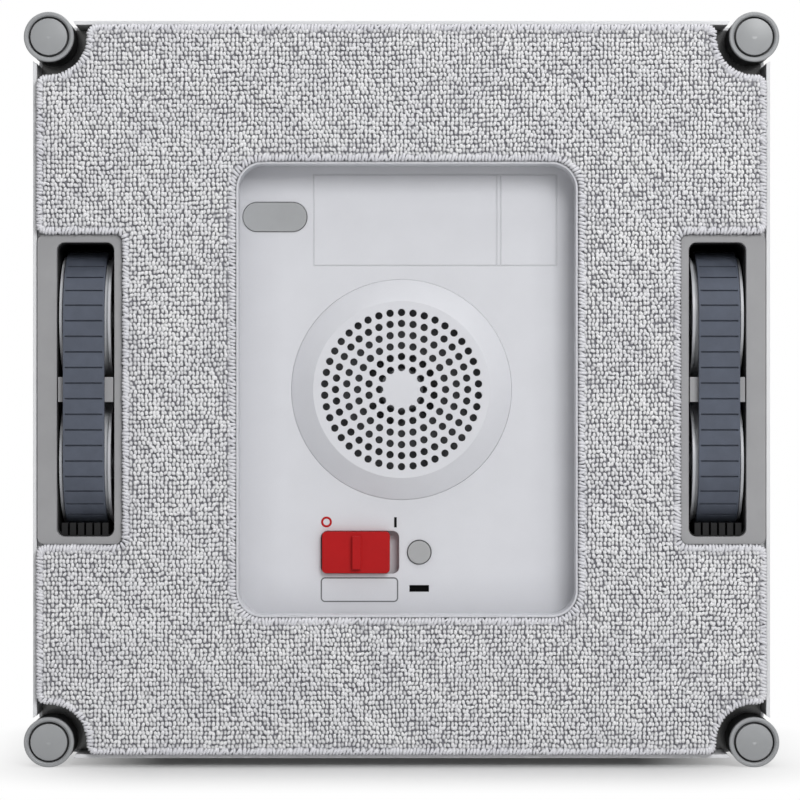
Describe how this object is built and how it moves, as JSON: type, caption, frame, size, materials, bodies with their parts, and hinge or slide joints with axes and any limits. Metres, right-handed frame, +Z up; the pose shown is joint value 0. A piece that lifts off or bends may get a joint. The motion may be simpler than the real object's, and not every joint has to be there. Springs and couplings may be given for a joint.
{
  "type": "window cleaning robot",
  "caption": "Square window cleaning robot with a looped microfibre pad, side tread tracks, corner guide rollers, a suction grille, a red slide switch and a lift handle",
  "frame": {"origin": "the middle of the cleaning face, on the plane of the glass", "axes": "Y runs from the glass into the room, so -Y is the cleaning face's outward normal; Z is up as the robot hangs on a pane, and X is to the right as seen from the glass"},
  "size_m": [0.245, 0.1073, 0.245],
  "materials": {
    "shell_white": "satin",
    "chamber_grey": "matte",
    "bezel_grey": "matte",
    "well_black": "matte",
    "tread_rubber": "matte",
    "wheel_grey": "satin",
    "steel": "brushed",
    "brass_pinion": "machined",
    "gear_white": "satin",
    "inner_black": "matte",
    "motor_can": "satin",
    "fan_grey": "matte",
    "fan_light": "satin",
    "board_green": "satin",
    "battery_wrap": "glossy",
    "corner_black": "glossy",
    "roller_rubber": "satin",
    "cap_grey": "satin",
    "hook_tape": "matte",
    "terry": "looped",
    "knob_red": "satin",
    "button_grey": "satin",
    "sensor_grey": "smoked",
    "soft_grip": "matte",
    "light_ring": "frosted",
    "port_black": "matte",
    "seal_foam": "matte"
  },
  "bodies": {
    "casing": {"base_shell": "shell_white", "suction_tray": "chamber_grey", "suction_grille": "chamber_grey", "grille_gasket": "seal_foam", "sensor_window": "sensor_grey", "switch_body": "chamber_grey", "service_port": "port_black", "left_track_bezel": "bezel_grey", "right_track_bezel": "bezel_grey", "left_track_well": "well_black", "right_track_well": "well_black", "left_tread_belt": "tread_rubber", "right_tread_belt": "tread_rubber", "track_supports": "bezel_grey", "left_gearbox": "inner_black", "right_gearbox": "inner_black", "left_drive_motor": "motor_can", "right_drive_motor": "motor_can", "idler_axles": "steel", "fan_housing": "fan_grey", "fan_motor": "motor_can", "control_board": "board_green", "battery_pack": "battery_wrap", "corner_brackets": "corner_black", "roller_pins": "steel", "hook_strips": "hook_tape", "top_shell": "shell_white", "back_hub": "shell_white", "handle": "shell_white", "handle_grip": "soft_grip", "start_light_ring": "light_ring", "start_board": "board_green", "exhaust_filter": "seal_foam", "power_inlet": "port_black", "rope_eyelet": "steel", "case_screws": "steel"},
    "pad": {"cleaning_pad": "terry"},
    "switch_knob": {"power_knob": "knob_red"},
    "reset_key": {"reset_button": "button_grey"},
    "start_key": {"start_button": "button_grey"},
    "left_drive_set": {"left_drive_wheel": "wheel_grey", "left_drive_shaft": "steel", "left_final_gear": "gear_white"},
    "left_idler_set": {"left_idler_wheel": "wheel_grey"},
    "left_motor_rotor": {"left_motor_pinion": "brass_pinion"},
    "right_drive_set": {"right_drive_wheel": "wheel_grey", "right_drive_shaft": "steel", "right_final_gear": "gear_white"},
    "right_idler_set": {"right_idler_wheel": "wheel_grey"},
    "right_motor_rotor": {"right_motor_pinion": "brass_pinion"},
    "fan_rotor": {"fan_impeller": "fan_light", "fan_shaft": "steel"},
    "upper_left_roller": {"roller_upper_left": "roller_rubber", "cap_upper_left": "cap_grey"},
    "upper_right_roller": {"roller_upper_right": "roller_rubber", "cap_upper_right": "cap_grey"},
    "lower_left_roller": {"roller_lower_left": "roller_rubber", "cap_lower_left": "cap_grey"},
    "lower_right_roller": {"roller_lower_right": "roller_rubber", "cap_lower_right": "cap_grey"}
  },
  "joints": [
    {"name": "pad_pull_off", "type": "slide", "parent": "casing", "child": "pad", "axis": [0, -1, 0], "range_m": [0, 0.03]},
    {"name": "power_switch", "type": "slide", "parent": "casing", "child": "switch_knob", "axis": [1, 0, 0], "range_m": [0, 0.0026]},
    {"name": "reset_press", "type": "slide", "parent": "casing", "child": "reset_key", "axis": [0, 1, 0], "range_m": [0, 0.001], "stiffness_N_per_m": 250, "springref_m": -0.0008},
    {"name": "start_press", "type": "slide", "parent": "casing", "child": "start_key", "axis": [0, -1, 0], "range_m": [0, 0.0008], "stiffness_N_per_m": 400, "springref_m": -0.0006},
    {"name": "left_drive", "type": "hinge", "parent": "casing", "child": "left_drive_set", "pos_m": [-0.103, 0.022, -0.0235], "axis": [1, 0, 0], "continuous": true},
    {"name": "left_idler", "type": "hinge", "parent": "casing", "child": "left_idler_set", "pos_m": [-0.103, 0.022, 0.0235], "axis": [1, 0, 0], "continuous": true},
    {"name": "left_motor", "type": "hinge", "parent": "casing", "child": "left_motor_rotor", "pos_m": [-0.08, 0.0388, -0.0235], "axis": [1, 0, 0], "continuous": true},
    {"name": "right_drive", "type": "hinge", "parent": "casing", "child": "right_drive_set", "pos_m": [0.103, 0.022, -0.0235], "axis": [1, 0, 0], "continuous": true},
    {"name": "right_idler", "type": "hinge", "parent": "casing", "child": "right_idler_set", "pos_m": [0.103, 0.022, 0.0235], "axis": [1, 0, 0], "continuous": true},
    {"name": "right_motor", "type": "hinge", "parent": "casing", "child": "right_motor_rotor", "pos_m": [0.08, 0.0388, -0.0235], "axis": [1, 0, 0], "continuous": true},
    {"name": "fan_spin", "type": "hinge", "parent": "casing", "child": "fan_rotor", "pos_m": [0, 0.03, 0], "axis": [0, 1, 0], "continuous": true},
    {"name": "upper_left_roller_spin", "type": "hinge", "parent": "casing", "child": "upper_left_roller", "pos_m": [-0.1144, 0.01, 0.1144], "axis": [0, 1, 0], "continuous": true},
    {"name": "upper_right_roller_spin", "type": "hinge", "parent": "casing", "child": "upper_right_roller", "pos_m": [0.1144, 0.01, 0.1144], "axis": [0, 1, 0], "continuous": true},
    {"name": "lower_left_roller_spin", "type": "hinge", "parent": "casing", "child": "lower_left_roller", "pos_m": [-0.1144, 0.01, -0.1144], "axis": [0, 1, 0], "continuous": true},
    {"name": "lower_right_roller_spin", "type": "hinge", "parent": "casing", "child": "lower_right_roller", "pos_m": [0.1144, 0.01, -0.1144], "axis": [0, 1, 0], "continuous": true}
  ],
  "couplings": [
    {"joint": "left_idler", "follows": "left_drive", "ratio": 1},
    {"joint": "left_motor", "follows": "left_drive", "ratio": -2},
    {"joint": "right_idler", "follows": "right_drive", "ratio": 1},
    {"joint": "right_motor", "follows": "right_drive", "ratio": -2}
  ]
}
